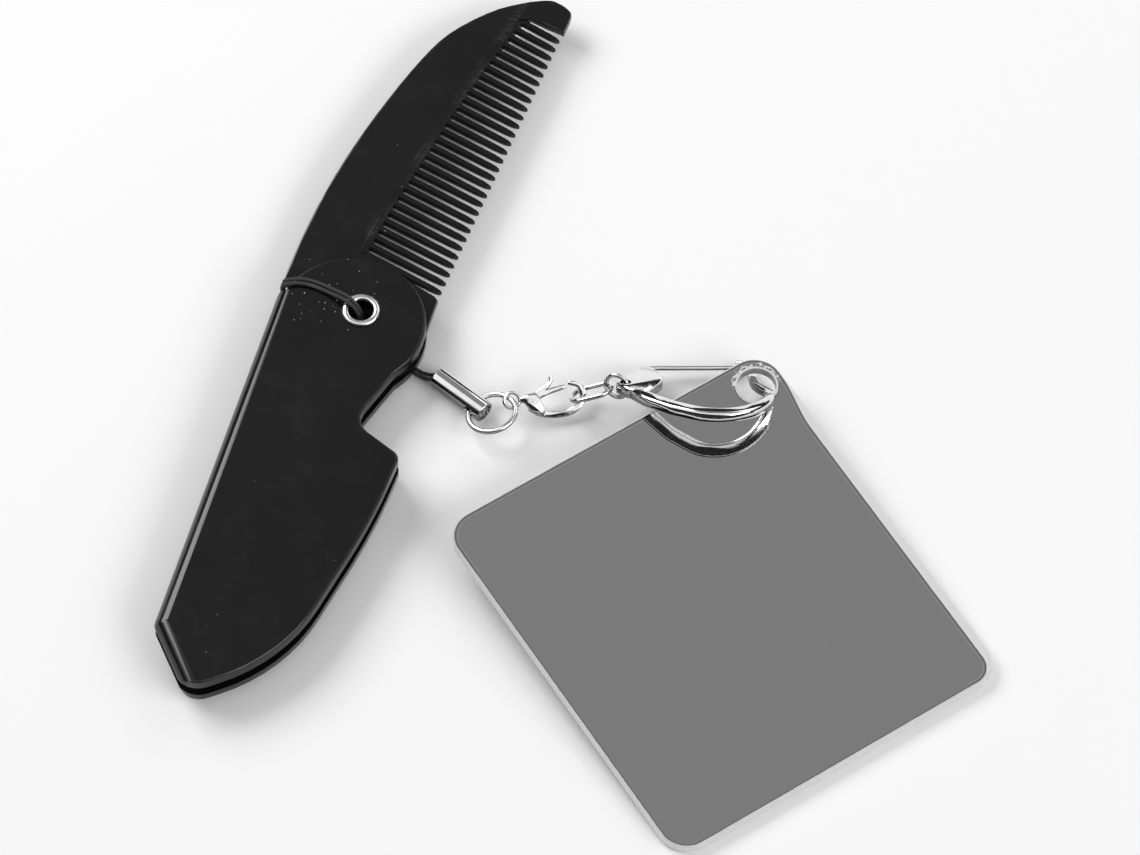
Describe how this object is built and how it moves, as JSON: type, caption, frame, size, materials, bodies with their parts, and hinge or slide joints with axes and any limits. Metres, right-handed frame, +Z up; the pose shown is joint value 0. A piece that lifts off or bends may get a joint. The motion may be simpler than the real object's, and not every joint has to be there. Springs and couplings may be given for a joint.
{
  "type": "pocket mirror comb",
  "caption": "Folding pocket comb in a slotted case, joined by a cord, ring, lobster clasp and spring-gate clip to a square pocket mirror.",
  "frame": {"origin": "middle of the foot of the whole set as it lies, on the surface that it lies on", "axes": "+Y from the comb's case to its opened blade, +X from the comb to the mirror, +Z up from the surface"},
  "size_m": [0.1352, 0.155, 0.0138],
  "materials": {
    "black_plastic": "glossy",
    "black_cord": "matt",
    "chrome": "polished",
    "mirror": "polished"
  },
  "bodies": {
    "handle": {"handle_case": "black_plastic", "pivot_eyelet": "chrome", "eyelet_washer": "chrome", "strap_loop": "black_cord"},
    "blade": {"comb_blade": "black_plastic"},
    "strap_end": {"strap_tail": "black_cord", "cord_ferrule": "chrome"},
    "ring": {"jump_ring": "chrome"},
    "clasp": {"clasp_body": "chrome", "clasp_pin": "chrome", "clasp_spring": "chrome"},
    "clasp_lever": {"clasp_lever": "chrome"},
    "link": {"oval_link": "chrome"},
    "small_ring": {"clip_ring": "chrome"},
    "clip": {"clip_body": "chrome"},
    "gate": {"clip_gate": "chrome"},
    "mirror": {"mirror_plate": "mirror"}
  },
  "joints": [
    {"name": "blade_fold", "type": "hinge", "parent": "handle", "child": "blade", "pos_m": [-0.05238, 0.00425, 0.0044], "axis": [0, 0, 1], "range_deg": [-174, 0]},
    {"name": "strap_drop", "type": "hinge", "parent": "handle", "child": "strap_end", "pos_m": [-0.04014, -0.00095, 0.00001], "axis": [-0.1822, -0.9833, 0], "range_deg": [-87, 0]},
    {"name": "ring_swing", "type": "hinge", "parent": "strap_end", "child": "ring", "pos_m": [-0.0294, -0.00515, 0.0019], "axis": [0.342, 0.9397, 0], "range_deg": [-50, 50]},
    {"name": "clasp_swing", "type": "hinge", "parent": "ring", "child": "clasp", "pos_m": [-0.02339, -0.00324, 0.00311], "axis": [-0.7413, 0.6338, -0.221], "range_deg": [-40, 40]},
    {"name": "lever_press", "type": "hinge", "parent": "clasp", "child": "clasp_lever", "pos_m": [-0.02044, -0.00225, 0.00291], "axis": [0.2333, -0.524, 0.8192], "range_deg": [-20, 0], "stiffness_Nm_per_rad": 0.002, "deforming": ["clasp_spring"]},
    {"name": "link_swing", "type": "hinge", "parent": "clasp", "child": "link", "pos_m": [-0.01385, 0.00049, 0.00278], "axis": [-0.0524, 0.8737, -0.4837], "range_deg": [-14, 40]},
    {"name": "small_ring_swing", "type": "hinge", "parent": "link", "child": "small_ring", "pos_m": [-0.00739, 0.00247, 0.00565], "axis": [0.0524, -0.8737, 0.4837], "range_deg": [-40, 40]},
    {"name": "clip_swing", "type": "hinge", "parent": "small_ring", "child": "clip", "pos_m": [-0.00482, 0.00281, 0.0074], "axis": [0.5398, -0.4641, -0.7023], "range_deg": [-10, 45]},
    {"name": "gate_open", "type": "hinge", "parent": "clip", "child": "gate", "pos_m": [-0.00396, 0.00759, 0.00369], "axis": [0.1322, -0.5345, -0.8347], "range_deg": [0, 8], "stiffness_Nm_per_rad": 0.002},
    {"name": "mirror_swing", "type": "hinge", "parent": "clip", "child": "mirror", "pos_m": [0.01674, 0.00981, 0.00555], "axis": [0.9482, 0.3136, -0.0506], "range_deg": [-2, 60]}
  ],
  "couplings": [
    {"joint": "strap_drop", "follows": "blade_fold", "ratio": 0.5}
  ]
}
